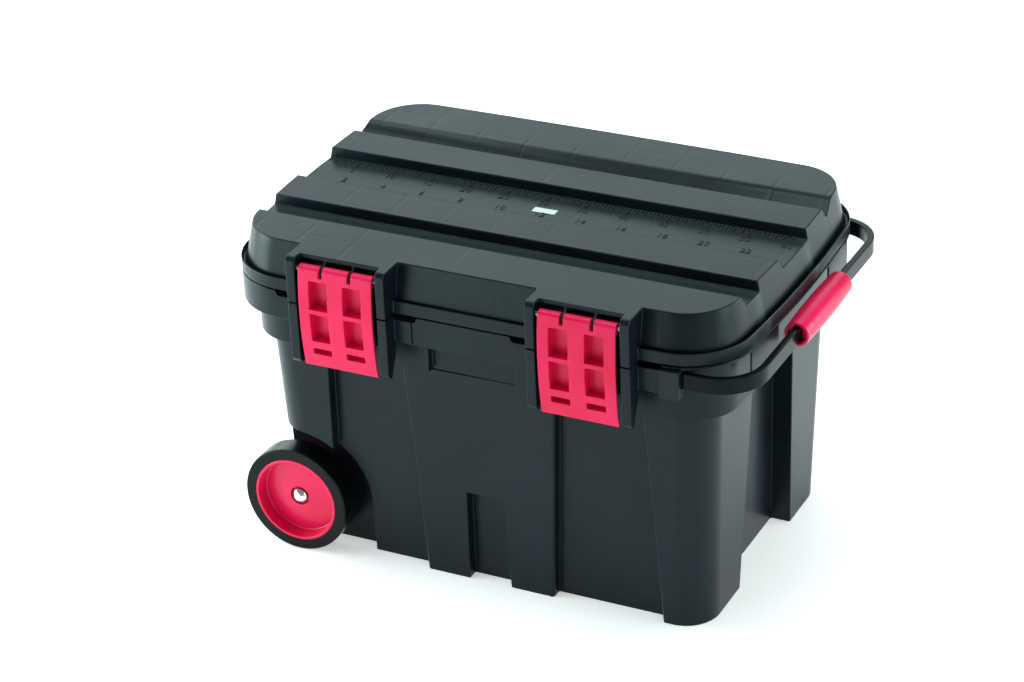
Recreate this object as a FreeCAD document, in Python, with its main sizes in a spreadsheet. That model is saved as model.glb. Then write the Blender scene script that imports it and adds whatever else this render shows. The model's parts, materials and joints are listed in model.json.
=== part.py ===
import FreeCAD, Part
import math
import os
import Sketcher

# Rolling jobsite storage box: a moulded tub and a hinged lid, two swing latches,
# two wheels on a cross axle and a pull-out handle.
# Millimetres, +Z up, X along the length (handle end at +X), -Y is the latch side.
# The origin is on the floor, under the middle of the tub.

doc = FreeCAD.newDocument("storage_box")
sheet = doc.addObject("Spreadsheet::Sheet", "Sizes")

SIZES = [
    # lid outline, seen from above: gently bowed sides, round corners
    ("top_half_len", 302.3), ("top_half_dep", 201), ("end_bow", 2000), ("side_bow", 12000), ("top_corner", 60),
    # levels of the lid and the seam
    ("top_level", 411), ("groove_level", 398), ("lip_level", 370.5), ("ledge_level", 363.5), ("lid_edge", 355),
    ("rim_level", 354), ("wall_run", 10), ("lip_run", 14), ("rim_run", 16), ("skin", 3.5),
    # grooves across the lid: y of each edge at the top, and the run of each slanted face
    ("gutter_front", 138), ("step_front", 96.5), ("step_back", 41.5), ("gutter_back", 131),
    ("back_face_run", 7), ("valley_run", 24), ("lid_rib", 2), ("lid_rib_pitch", 60),
    # tub walls at the floor; every wall leans out by draft
    ("draft", 0.037), ("core_dep", 165), ("panel_dep", 179), ("left_len", 266), ("right_len", 270),
    ("end_floor", 245.5), ("left_core", 252), ("core_corner", 30), ("tub_corner", 41), ("floor_skin", 4),
    ("foot_lift", 3), ("land", 24), ("edge_round", 4),
    # raised panels and columns: half widths and edges, at the floor and at the rim
    ("panel_foot", 81.5), ("panel_rim", 100), ("left_col_foot", 200.5), ("left_col_rim", 188.5),
    ("right_col_foot", 217), ("right_col_rim", 195.5), ("end_gap_foot", 78), ("end_gap_rim", 54),
    ("niche_foot", 26.5), ("niche_top", 23.3), ("niche_tall", 119),
    # rim band and the tier below it
    ("band_level", 319), ("tier_level", 278), ("tier_in", 17), ("band_skin", 2.4), ("deck", 3.5),
    ("bib_half", 54), ("bib_dep", 190.5), ("grab_half", 76),
    # latches
    ("latch_x", 147.5), ("latch_half", 46.3), ("cheek_in", 50.5), ("cheek_out", 62), ("cheek_dep", 236),
    ("hood_dep", 221), ("cheek_slope", 4.5), ("hood_skin", 5), ("latch_pin_y", 228.8), ("latch_pin_z", 396.5),
    ("roll_rad", 6.6), ("latch_pin_rad", 2.5), ("pin_play", 0.05), ("pin_bite", 8), ("latch_foot", 277.9),
    ("latch_bow", 4.7), ("latch_lean", 2.8), ("latch_skin", 3), ("flange_in", 5), ("flange_skin", 2.5),
    ("slit_x", 18), ("slit_wide", 4.4), ("slit_foot", 391.3), ("rib_wide", 3.4), ("rib_rad", 4.3),
    ("cell_in", 9.8), ("cell_wide", 23), ("cell_low", 312), ("cell_high", 352), ("cell_tall", 34.5),
    ("cell_floor", 225), ("cell_skin", 2.2), ("slot_low", 294.7), ("slot_tall", 7.8),
    ("catch_low", 302.5), ("catch_high", 308.2), ("catch_half", 38), ("catch_tip", 217.6), ("keeper_low", 309),
    ("notch_low", 347.5), ("notch_in", 57), ("notch_out", 239), ("notch_lean", 3.5), ("notch_dep", 206),
    ("fin_foot", 278.5), ("fin_in", 214), ("fin_turn", 308),
    ("split_x", 64), ("split_out", 234), ("split_wide", 1.2), ("split_deep", 1.2),
    # hinges
    ("hinge_x", 170), ("hinge_y", 228), ("hinge_z", 354.5), ("knuckle_rad", 8), ("hinge_pin_rad", 3),
    ("hinge_half", 55), ("knuckle_gap", 0.5), ("knuckle_wide", 18),
    # wheels and axle
    ("wheel_x", -244.6), ("wheel_rad", 66.5), ("tyre_wide", 28), ("tyre_face", 195), ("hub_rad", 52),
    ("hub_lip", 3), ("dish_rad", 49.2), ("dish_floor_rad", 40), ("dish_deep", 17), ("hub_web", 4),
    ("axle_rad", 6), ("axle_half", 189), ("hub_play", 0.06), ("boss_rad", 13), ("boss_dep", 163.5),
    ("washer_rad", 11), ("washer_thick", 3), ("arch_rad", 87), ("house_dep", 150), ("cap_rad", 9.5),
    # handle
    ("bar_dep", 211.9), ("bar_reach", 337.8), ("bar_thick", 8), ("bar_low", 328), ("bar_tall", 18.5),
    ("bar_bend", 54), ("arm_end", -56), ("grip_rad", 14.6), ("grip_swell", 1.7), ("grip_half", 67.5),
    ("mouth_rad", 11), ("mouth_deep", 7), ("guide_x", 235),
    ("guide_long", 24), ("guide_face", 220), ("guide_play", 0.35), ("guide_low", 317), ("corner_from", 145),
    ("shoe_long", 24), ("shoe_in", 200.4), ("shoe_low", 324.6), ("shoe_tall", 25.4),
    ("rivet_rad", 2),
]
for row, (name, size) in enumerate(SIZES, start=1):
    sheet.set(f"A{row}", name)
    sheet.set(f"B{row}", str(size))
    sheet.setAlias(f"B{row}", name)
doc.recompute()

# names allowed in expressions are the aliases above
NAMES = sorted((name for name, size in SIZES), key=len, reverse=True)


def bound(text):
    """An expression in alias names, with each alias pointed at the sheet."""
    out, word = "", ""
    for mark in str(text) + " ":
        if mark.isalnum() or mark == "_":
            word += mark
            continue
        out += f"Sizes.{word}" if word in NAMES else word
        out += mark
        word = ""
    return out.strip()


def number(text):
    return float(sheet.evalExpression(bound(text)))


def plane_of(body, role):
    return next(o for o in body.Origin.OriginFeatures if o.Role == role)


def new_body(name):
    body = doc.addObject("PartDesign::Body", name)
    body.Label = name
    return body


def new_sketch(body, name, role, offset="0"):
    """A sketch on one of the body's origin planes, moved along the plane's normal."""
    sketch = body.newObject("Sketcher::SketchObject", name)
    sketch.AttachmentSupport = [(plane_of(body, role), "")]
    sketch.MapMode = "FlatFace"
    sketch.setExpression("AttachmentOffset.Base.z", bound(offset))
    return sketch


def pin_point(sketch, geo, end, x, y):
    """Fix one end of a sketch line or arc at a bound place."""
    for kind, text in (("DistanceX", x), ("DistanceY", y)):
        index = sketch.addConstraint(Sketcher.Constraint(kind, -1, 1, geo, end, number(text)))
        sketch.setExpression(f"Constraints[{index}]", bound(text))


def draw(sketch, path):
    """A closed outline. Each entry is (x, y) or (x, y, radius): the edge that leaves a
    point is straight, or an arc of that radius, turning left where it is positive."""
    count = len(path)
    flat = [(number(p[0]), number(p[1])) for p in path]
    first = sketch.GeometryCount
    ends = []
    for i, point in enumerate(path):
        (x0, y0), (x1, y1) = flat[i], flat[(i + 1) % count]
        if len(point) == 2:
            line = Part.LineSegment(FreeCAD.Vector(x0, y0, 0), FreeCAD.Vector(x1, y1, 0))
            sketch.addGeometry(line)
            ends.append((1, 2))
            continue
        turn = 1 if number(point[2]) > 0 else -1
        rad = abs(number(point[2]))
        half = math.hypot(x1 - x0, y1 - y0) / 2
        rise = math.sqrt(max(rad * rad - half * half, 0))
        ux, uy = (x1 - x0) / (2 * half), (y1 - y0) / (2 * half)
        cx = (x0 + x1) / 2 - turn * uy * rise
        cy = (y0 + y1) / 2 + turn * ux * rise
        a0, a1 = math.atan2(y0 - cy, x0 - cx), math.atan2(y1 - cy, x1 - cx)
        if turn < 0:
            a0, a1 = a1, a0
        if a1 <= a0:
            a1 += 2 * math.pi
        circle = Part.Circle(FreeCAD.Vector(cx, cy, 0), FreeCAD.Vector(0, 0, 1), rad)
        sketch.addGeometry(Part.ArcOfCircle(circle, a0, a1))
        ends.append((1, 2) if turn > 0 else (2, 1))
    for i, point in enumerate(path):
        geo, after = first + i, first + (i + 1) % count
        pin_point(sketch, geo, ends[i][0], point[0], point[1])
        sketch.addConstraint(
            Sketcher.Constraint("Coincident", geo, ends[i][1], after, ends[(i + 1) % count][0]))
        if len(point) == 3:
            size = number(point[2])
            index = sketch.addConstraint(Sketcher.Constraint("Radius", geo, abs(size)))
            text = point[2] if size > 0 else f"-({point[2]})"
            sketch.setExpression(f"Constraints[{index}]", bound(text))
    return sketch


def box_path(x0, x1, y0, y1):
    return [(x0, y0), (x1, y0), (x1, y1), (x0, y1)]


def round_path(x0, x1, y0, y1, left, right):
    """A rectangle with one radius for its two left corners and another for its two right
    ones. None leaves a pair of corners sharp."""
    path = [(x0, f"({y0})+({left})", left), (f"({x0})+({left})", y0)] if left else [(x0, y0)]
    if right:
        path += [(f"({x1})-({right})", y0, right), (x1, f"({y0})+({right})"),
                 (x1, f"({y1})-({right})", right), (f"({x1})-({right})", y1)]
    else:
        path += [(x1, y0), (x1, y1)]
    return path + ([(f"({x0})+({left})", y1, left), (x0, f"({y1})-({left})")] if left else [(x0, y1)])


def circle_in(sketch, x, y, rad):
    circle = Part.Circle(FreeCAD.Vector(number(x), number(y), 0), FreeCAD.Vector(0, 0, 1), number(rad))
    geo = sketch.addGeometry(circle)
    pin_point(sketch, geo, 3, x, y)
    index = sketch.addConstraint(Sketcher.Constraint("Radius", geo, number(rad)))
    sketch.setExpression(f"Constraints[{index}]", bound(rad))


def bowed(sketch, grow):
    """The box outline, grown by a distance: four shallow arcs joined by round corners."""
    sizes = {"end": f"end_bow+({grow})", "side": f"side_bow+({grow})", "corner": f"top_corner+({grow})"}
    end, side, corner = (number(sizes[k]) for k in ("end", "side", "corner"))
    ex, sy = number("end_bow-top_half_len"), number("side_bow-top_half_dep")
    # corner centre: at (end - corner) from the end arc's centre, (side - corner) from the side arc's
    near, far = end - corner, side - corner
    gap = math.hypot(ex, sy)
    along = (near * near - far * far + gap * gap) / (2 * gap)
    off = math.sqrt(near * near - along * along)
    ux, uy = ex / gap, -sy / gap
    spots = [(-ex + along * ux + s * off * uy, along * uy - s * off * ux) for s in (1, -1)]
    kx, ky = max(spots, key=lambda spot: spot[0] + spot[1])
    lean_end = math.atan2(ky, kx + ex)
    lean_side = math.atan2(ky + sy, kx)
    quarter = math.pi / 2
    arcs = []
    for turn in range(4):
        mirror = turn % 2
        rad, shift = (side, sy) if mirror else (end, ex)
        spread = (quarter - lean_side) if mirror else lean_end
        mid = turn * quarter
        arcs.append((-shift * math.cos(mid), -shift * math.sin(mid), rad, mid - spread, mid + spread))
        a0 = mid + spread
        a1 = (turn + 1) * quarter - (lean_end if mirror else (quarter - lean_side))
        sx = kx if turn in (0, 3) else -kx
        sy_corner = ky if turn in (0, 1) else -ky
        arcs.append((sx, sy_corner, corner, a0, a1))
    first = sketch.GeometryCount
    for cx, cy, rad, a0, a1 in arcs:
        circle = Part.Circle(FreeCAD.Vector(cx, cy, 0), FreeCAD.Vector(0, 0, 1), rad)
        sketch.addGeometry(Part.ArcOfCircle(circle, a0, a1))
    for i in range(8):
        sketch.addConstraint(
            Sketcher.Constraint("Tangent", first + i, 2, first + (i + 1) % 8, 1))
    places = [("top_half_len-end_bow", "0"), ("0", "top_half_dep-side_bow"),
              ("end_bow-top_half_len", "0"), ("0", "side_bow-top_half_dep")]
    for turn in range(4):
        pin_point(sketch, first + 2 * turn, 3, *places[turn])
        for geo, text in ((first + 2 * turn, sizes["side" if turn % 2 else "end"]),
                          (first + 2 * turn + 1, sizes["corner"])):
            index = sketch.addConstraint(Sketcher.Constraint("Radius", geo, number(text)))
            sketch.setExpression(f"Constraints[{index}]", bound(text))
    return sketch


def extrude(body, kind, name, sketch, length, reverse=False, midplane=False):
    feature = body.newObject(f"PartDesign::{kind}", name)
    feature.Profile = sketch
    feature.Type = 0
    feature.setExpression("Length", bound(length))
    feature.Reversed = reverse
    feature.Midplane = midplane
    sketch.Visibility = False
    return feature


def slab(body, kind, name, path, low, high):
    """An upright block of the body between two levels."""
    sketch = draw(new_sketch(body, name + "_line", "XY_Plane", low), path)
    return extrude(body, kind, name, sketch, f"({high})-({low})", reverse=kind == "Pocket")


def tower(body, kind, name, foot, head, low, high):
    """A block lofted between an outline at one level and an outline at another."""
    low_line = draw(new_sketch(body, name + "_foot", "XY_Plane", low), foot)
    high_line = draw(new_sketch(body, name + "_head", "XY_Plane", high), head)
    feature = body.newObject(f"PartDesign::{kind}Loft", name)
    feature.Profile = low_line
    feature.Sections = [high_line]
    feature.Ruled = True
    return feature


def rail(body, kind, name, path, left, right):
    """A block of constant side view, from x = left to x = right. Path points are (y, z)."""
    sketch = draw(new_sketch(body, name + "_line", "YZ_Plane", left), path)
    return extrude(body, kind, name, sketch, f"({right})-({left})", reverse=kind == "Pocket")


def across(body, kind, name, path, y_from, y_to):
    """A block of constant front view, from y_from up to y_to. Path points are (x, z)."""
    sketch = draw(new_sketch(body, name + "_line", "XZ_Plane", f"-({y_to})"), path)
    return extrude(body, kind, name, sketch, f"({y_to})-({y_from})", reverse=kind == "Pocket")


def bore_x(body, name, y, z, rad, left, right):
    sketch = new_sketch(body, name + "_line", "YZ_Plane", left)
    circle_in(sketch, y, z, rad)
    return extrude(body, "Pocket", name, sketch, f"({right})-({left})", reverse=True)


def both(y):
    """Signed forms of a depth, for the front (-) and the back (+)."""
    return [(-1, f"-({y})"), (1, y)]


def turned(body, name, path):
    """A solid turned about the Y axis line of its own sketch. Path points are (radius, y)."""
    sketch = draw(new_sketch(body, name + "_line", "XY_Plane"), path)
    feature = body.newObject("PartDesign::Revolution", name)
    feature.Profile = sketch
    feature.ReferenceAxis = (sketch, ["V_Axis"])
    feature.Angle = 360
    sketch.Visibility = False
    return feature


# ---------------------------------------------------------------- tub
RIM = "rim_level"


def build_form(body, inset, low, high):
    """The tub's walls, as one solid: core, raised centre panel and corner columns.
    An inset makes the same form one wall thickness further in, for the hollow."""
    inn = f"-({inset})"

    def grown(size, level):
        return f"{size}{inn}+draft*({level})"

    def core(level):
        return round_path(f"-({grown('left_core', level)})", grown("end_floor", level),
                          f"-({grown('core_dep', level)})", grown("core_dep", level),
                          f"core_corner{inn}", f"core_corner{inn}")

    def panel(level):
        half = f"panel_foot{inn}+(panel_rim-panel_foot)*({level})/{RIM}"
        return round_path(f"-({half})", half, f"-({grown('panel_dep', level)})", grown("panel_dep", level),
                          "edge_round", "edge_round")

    def left_column(level):
        edge = f"left_col_foot-(left_col_foot-left_col_rim)*({level})/{RIM}+({inset})"
        return round_path(f"-({grown('left_len', level)})", f"-({edge})",
                          f"-({grown('panel_dep', level)})", grown("panel_dep", level),
                          f"tub_corner{inn}", None)

    def right_column(level):
        edge = f"right_col_foot-(right_col_foot-right_col_rim)*({level})/{RIM}+({inset})"
        return round_path(edge, grown("right_len", level),
                          f"-({grown('panel_dep', level)})", grown("panel_dep", level),
                          "edge_round", f"tub_corner{inn}")

    def end_gap(level):
        half = f"end_gap_foot-(end_gap_foot-end_gap_rim)*({level})/{RIM}+({inset})"
        return box_path(grown("end_floor", level), "right_len+60", f"-({half})", half)

    def niche(side):
        def line(level):
            half = f"niche_foot-(niche_foot-niche_top)*({level})/niche_tall+({inset})"
            near, far = grown("core_dep", level), "panel_dep+40"
            return box_path(f"-({half})", half, *((f"-({far})", f"-({near})") if side < 0 else (near, far)))
        return line

    for name, outline in (("core", core), ("centre_panel", panel), ("left_columns", left_column),
                          ("right_columns", right_column)):
        tower(body, "Additive", name, outline(low), outline(high), low, high)
    tower(body, "Subtractive", "end_gap", end_gap(low), end_gap(high), low, high)
    for side, name in ((-1, "front_niche"), (1, "back_niche")):
        line = niche(side)
        top = f"niche_tall+({inset})"
        tower(body, "Subtractive", name, line(low), line(top), low, top)


def arch_path(grow):
    """The wheel's opening, seen from the side: a half round above a straight-sided mouth."""
    rad = f"arch_rad+({grow})"
    return [(f"wheel_x+({rad})", "-1"), (f"wheel_x+({rad})", "wheel_rad", rad),
            ("wheel_x", f"wheel_rad+({rad})"), ("-340", f"wheel_rad+({rad})"), ("-340", "-1")]


def knuckle_path(side):
    """A hinge knuckle with its web, in side view: the tub's below the seam, the lid's above."""
    back = "hinge_y-14"
    if side == "tub":
        return [(back, "hinge_z-knuckle_rad"), ("hinge_y", "hinge_z-knuckle_rad", "knuckle_rad"),
                ("hinge_y+knuckle_rad", "hinge_z", "knuckle_rad"),
                ("hinge_y", "hinge_z+knuckle_rad", "knuckle_rad"), ("hinge_y-knuckle_rad", "hinge_z"),
                ("hinge_y-knuckle_rad", "rim_level"), (back, "rim_level")]
    return [(back, "hinge_z+knuckle_rad"), (back, "lid_edge"), ("hinge_y-knuckle_rad", "lid_edge"),
            ("hinge_y-knuckle_rad", "hinge_z", "knuckle_rad"), ("hinge_y", "hinge_z-knuckle_rad", "knuckle_rad"),
            ("hinge_y+knuckle_rad", "hinge_z", "knuckle_rad"), ("hinge_y", "hinge_z+knuckle_rad")]


def add_knuckles(body, side):
    """Three knuckles on the tub and two on the lid, at each of two hinges."""
    wide, gap = "knuckle_wide", "knuckle_gap"
    if side == "tub":
        spans = [("-hinge_half", f"-hinge_half+{wide}"), (f"-{wide}/2", f"{wide}/2"),
                 (f"hinge_half-{wide}", "hinge_half")]
    else:
        spans = [(f"-hinge_half+{wide}+{gap}", f"-{wide}/2-{gap}"), (f"{wide}/2+{gap}", f"hinge_half-{wide}-{gap}")]
    for station, centre in (("left", "-hinge_x"), ("right", "hinge_x")):
        for i, (a, b) in enumerate(spans):
            rail(body, "Pad", f"{station}_knuckle_{i}", knuckle_path(side), f"{centre}+({a})", f"{centre}+({b})")
        play = "0" if side == "tub" else "pin_play"
        bore_x(body, f"{station}_hinge_bore", "hinge_y", "hinge_z", f"hinge_pin_rad+{play}",
               f"{centre}-hinge_half", f"{centre}+hinge_half")


outer = new_body("tub_form")
build_form(outer, "0", "0", RIM)
# the band is a rim turned out and down, open below between its skirt and the tier inside it;
# the skirt is cut away at the handle's corners and behind the grip
line = bowed(new_sketch(outer, "band_line", "XY_Plane", "band_level"), "rim_run")
extrude(outer, "Pad", "band", line, f"{RIM}-band_level")
hollow = bowed(new_sketch(outer, "band_hollow_line", "XY_Plane", "band_level"), "rim_run-band_skin")
extrude(outer, "Pocket", "band_hollow", hollow, f"{RIM}-deck-band_level", reverse=True)
for name, y0, y1 in (("front_corner", "-top_half_dep-40", "-corner_from"), ("grab", "-grab_half", "grab_half"),
                     ("back_corner", "corner_from", "top_half_dep+40")):
    x0 = "end_floor+20" if name == "grab" else "guide_x-0.5"
    slab(outer, "Pocket", f"{name}_window", box_path(x0, "top_half_len+60", y0, y1),
         "band_level-1", f"{RIM}-deck")
line = bowed(new_sketch(outer, "tier_line", "XY_Plane", "tier_level"), "rim_run-tier_in")
extrude(outer, "Pad", "tier", line, f"{RIM}-tier_level")
slab(outer, "Pocket", "front_bib", box_path("-bib_half", "bib_half", "-panel_dep-40", "-bib_dep"),
     "tier_level-1", "band_level")
# fins that flank each latch, the lip its catch hooks under, and the notches beside the fins
# each fin tapers to a blunt foot below the band
FIN = [("-cheek_dep", RIM), ("-cheek_dep", "fin_foot+5.5"), ("-cheek_dep+4", "fin_foot"),
       ("-cheek_dep+9", "fin_foot"), ("-fin_in", "fin_turn"), ("-fin_in", RIM)]
for side, hand in ((-1, "left"), (1, "right")):
    middle = f"({side})*latch_x"
    for edge, name in ((-1, "a"), (1, "b")):
        inner, out = f"{middle}+({edge})*cheek_in", f"{middle}+({edge})*cheek_out"
        rail(outer, "Pad", f"{hand}_fin_{name}", FIN, *((out, inner) if edge < 0 else (inner, out)))
    slab(outer, "Pad", f"{hand}_keeper",
         box_path(f"{middle}-cheek_in", f"{middle}+cheek_in", "-top_half_dep-rim_run+0.4",
                  "-top_half_dep-rim_run+band_skin"), "keeper_low", "band_level+1")
NOTCHES = [("notch_in", "latch_x-cheek_out", "notch_lean"), ("notch_out", "latch_x+cheek_out", "-notch_lean")]
for side, hand in ((-1, "left"), (1, "right")):
    for i, (far, near, lean) in enumerate(NOTCHES):
        path = [(f"({side})*({far})", f"{RIM}+1"), (f"({side})*(({far})+({lean}))", "notch_low"),
                (f"({side})*({near})", "notch_low"), (f"({side})*({near})", f"{RIM}+1")]
        across(outer, "Pocket", f"{hand}_notch_{i}", path, "-top_half_dep-40", "-notch_dep")
# a fine upright line in the band, right of each latch
for hand, spot in (("left", "-split_x"), ("right", "split_out")):
    slab(outer, "Pocket", f"{hand}_split",
         box_path(f"{spot}-split_wide/2", f"{spot}+split_wide/2", "-top_half_dep-40",
                  "-top_half_dep-rim_run+split_deep+1"), "band_level+2", f"{RIM}-1")
# wheel houses, axle bosses and bore
for side, name in ((-1, "front"), (1, "back")):
    ys = ("-top_half_dep", "-house_dep") if side < 0 else ("house_dep", "top_half_dep")
    across(outer, "Pocket", f"{name}_wheel_house", arch_path("0"), *ys)
    boss = new_sketch(outer, f"{name}_boss_line", "XZ_Plane", "house_dep-2" if side < 0 else "-boss_dep")
    circle_in(boss, "wheel_x", "wheel_rad", "boss_rad")
    extrude(outer, "Pad", f"{name}_boss", boss, "boss_dep-house_dep+2")
bore = new_sketch(outer, "axle_bore_line", "XZ_Plane", "-boss_dep-1")
circle_in(bore, "wheel_x", "wheel_rad", "axle_rad")
extrude(outer, "Pocket", "axle_bore", bore, "2*boss_dep+2", reverse=True)
# underside: four shallow bays leave a rim and a cross to stand on
for i, (x0, x1) in enumerate((("-left_col_foot+60", "-land/2"), ("land/2", "right_col_foot-land/2"))):
    for j, (y0, y1) in enumerate((("-core_dep+land", "-land/2"), ("land/2", "core_dep-land"))):
        slab(outer, "Pocket", f"bay_{i}{j}", box_path(x0, x1, y0, y1), "0", "foot_lift")
add_knuckles(outer, "tub")

inner = new_body("tub_hollow")
FLOOR = "foot_lift+floor_skin"
build_form(inner, "skin", FLOOR, f"{RIM}+1")
line = bowed(new_sketch(inner, "tier_line", "XY_Plane", "tier_level+skin"), "rim_run-tier_in-skin")
extrude(inner, "Pad", "tier", line, f"{RIM}+1-tier_level-skin")
slab(inner, "Pocket", "bib", box_path("-bib_half-skin", "bib_half+skin", "-panel_dep-40", "-bib_dep+skin"),
     "tier_level", f"{RIM}+2")
for side, name in ((-1, "front"), (1, "back")):
    ys = ("-panel_dep-40", "-house_dep+skin") if side < 0 else ("house_dep-skin", "panel_dep+40")
    across(inner, "Pocket", f"{name}_wheel_house", arch_path("skin"), *ys)
across(inner, "Pocket", "axle_tunnel",
       box_path("-left_len-40", "wheel_x+boss_rad", "wheel_rad-boss_rad", "wheel_rad+boss_rad"),
       "-panel_dep", "panel_dep")

tub = doc.addObject("Part::Cut", "tub_shell")
tub.Label = "tub_shell"
tub.Base, tub.Tool = outer, inner

# ---------------------------------------------------------------- lid
GROOVES = {
    "front": [("-gutter_front", "top_level"), ("-gutter_front+back_face_run", "groove_level"),
              ("-step_front", "groove_level"), ("-step_front", "top_level")],
    "middle": [("-step_back", "top_level"), ("-step_back+back_face_run", "groove_level"),
               ("step_back", "groove_level"), ("step_back", "top_level")],
    "back": [("step_front-1.5", "top_level"), ("step_front-1.5+back_face_run", "groove_level"),
             ("gutter_back-valley_run", "groove_level"), ("gutter_back", "top_level")],
}


def cut_grooves(body, grow):
    """Three grooves along the lid, or the same grown by a wall thickness for the hollow."""
    for name, ((y0, z0), (y1, z1), (y2, z2), (y3, z3)) in GROOVES.items():
        path = [(f"{y0}-({grow})", f"{z0}+1"), (f"{y0}-({grow})", f"{z0}-({grow})*0.4"),
                (f"{y1}-({grow})", f"{z1}-({grow})"), (f"{y2}+({grow})", f"{z2}-({grow})"),
                (f"{y3}+({grow})", f"{z3}-({grow})*0.4"), (f"{y3}+({grow})", f"{z3}+1")]
        rail(body, "Pocket", f"{name}_groove", path, "-top_half_len-60", "top_half_len+60")


def lid_loft(body, name, low, low_grow, high, high_grow):
    low_line = bowed(new_sketch(body, name + "_foot", "XY_Plane", low), low_grow)
    high_line = bowed(new_sketch(body, name + "_head", "XY_Plane", high), high_grow)
    feature = body.newObject("PartDesign::AdditiveLoft", name)
    feature.Profile = low_line
    feature.Sections = [high_line]
    feature.Ruled = True
    return feature


lid_form = new_body("lid_form")
line = bowed(new_sketch(lid_form, "rim_line", "XY_Plane", "lid_edge"), "rim_run")
extrude(lid_form, "Pad", "rim", line, "lip_level-lid_edge")
# a drain channel runs round the foot of the crown, inside the rim's lip
line = bowed(new_sketch(lid_form, "channel_line", "XY_Plane", "ledge_level"), "lip_run")
extrude(lid_form, "Pocket", "channel", line, "lip_level-ledge_level+1", reverse=True)
lid_loft(lid_form, "crown", "ledge_level", "wall_run", "top_level", "0")
cut_grooves(lid_form, "0")
# a hood over each latch, with a cheek each side, and two ribs that carry the latch pin
HOOD = [("-top_half_dep+6", "lid_edge"), ("-cheek_dep", "lid_edge"), ("-cheek_dep", "top_level-cheek_slope"),
        ("-cheek_dep+cheek_slope", "top_level"), ("-top_half_dep+6", "top_level")]
BAY = [("-cheek_dep-4", "lid_edge-1"), ("-top_half_dep-rim_run", "lid_edge-1"),
       ("-top_half_dep-rim_run", "ledge_level"), ("-top_half_dep-wall_run", "ledge_level"),
       ("-top_half_dep-0.5", "top_level-hood_skin"), ("-hood_dep", "top_level-hood_skin"),
       ("-hood_dep", "top_level+1"), ("-cheek_dep-4", "top_level+1")]
RIB = [("-top_half_dep+3", "latch_pin_z-rib_rad"), ("-latch_pin_y", "latch_pin_z-rib_rad", "-rib_rad"),
       ("-latch_pin_y-rib_rad", "latch_pin_z", "-rib_rad"), ("-latch_pin_y", "latch_pin_z+rib_rad"),
       ("-hood_dep+0.5", "top_level-hood_skin+0.5"), ("-top_half_dep+3", "top_level-hood_skin+0.5")]
for side, hand in ((-1, "left"), (1, "right")):
    middle = f"({side})*latch_x"
    rail(lid_form, "Pad", f"{hand}_hood", HOOD, f"{middle}-cheek_out", f"{middle}+cheek_out")
    rail(lid_form, "Pocket", f"{hand}_bay", BAY, f"{middle}-cheek_in", f"{middle}+cheek_in")
    for edge, name in ((-1, "a"), (1, "b")):
        spot = f"{middle}+({edge})*slit_x"
        rail(lid_form, "Pad", f"{hand}_rib_{name}", RIB, f"{spot}-rib_wide/2", f"{spot}+rib_wide/2")
    bore_x(lid_form, f"{hand}_pin_bore", "-latch_pin_y", "latch_pin_z", "latch_pin_rad",
           f"{middle}-cheek_in-pin_bite", f"{middle}+cheek_in+pin_bite")
add_knuckles(lid_form, "lid")

lid_hollow = new_body("lid_hollow")
line = bowed(new_sketch(lid_hollow, "rim_line", "XY_Plane", "lid_edge-1"), "rim_run-skin")
extrude(lid_hollow, "Pad", "rim", line, "ledge_level-skin-lid_edge+1")
lid_loft(lid_hollow, "crown", "ledge_level-skin-1", "wall_run-skin", "top_level-skin", "-skin+0.8")
cut_grooves(lid_hollow, "skin")
for i in range(-4, 5):
    spot = f"({i})*lid_rib_pitch"
    across(lid_hollow, "Pocket", f"cross_rib_{i + 4}",
           box_path(f"{spot}-lid_rib/2", f"{spot}+lid_rib/2", "groove_level-skin", "top_level"),
           "-top_half_dep-40", "top_half_dep+40")

lid = doc.addObject("Part::Cut", "lid_shell")
lid.Label = "lid_shell"
lid.Base, lid.Tool = lid_form, lid_hollow


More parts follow.
